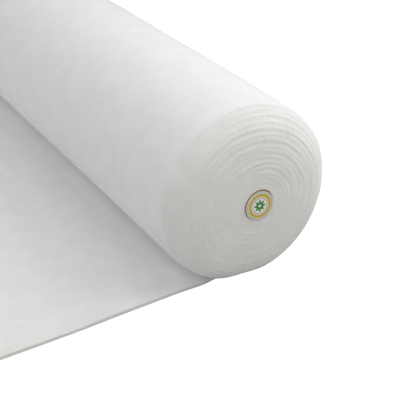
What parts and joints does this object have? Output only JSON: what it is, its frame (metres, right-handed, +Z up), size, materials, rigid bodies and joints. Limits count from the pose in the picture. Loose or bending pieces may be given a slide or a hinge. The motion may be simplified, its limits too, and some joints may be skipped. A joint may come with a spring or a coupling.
{
  "type": "roll of quilt batting",
  "caption": "Soft white batting sheet wound on a cardboard tube, lying on its side with its loose end spread flat on the floor and its near end slid out into a dome.",
  "frame": {"origin": "on the floor, under the roll's axis, halfway along the batting", "axes": "+Y along the roll's axis towards its plain far end, +Z up, +X away from the loose end"},
  "size_m": [0.9338, 1.5629, 0.3957],
  "materials": {
    "batting_fibre": "soft matt white fibre",
    "tube_cardboard": "plain matt brown",
    "label_paper": "smooth printed paper"
  },
  "bodies": {
    "root": {"batting": "batting_fibre", "core_tube": "tube_cardboard", "core_label": "label_paper"}
  },
  "joints": []
}
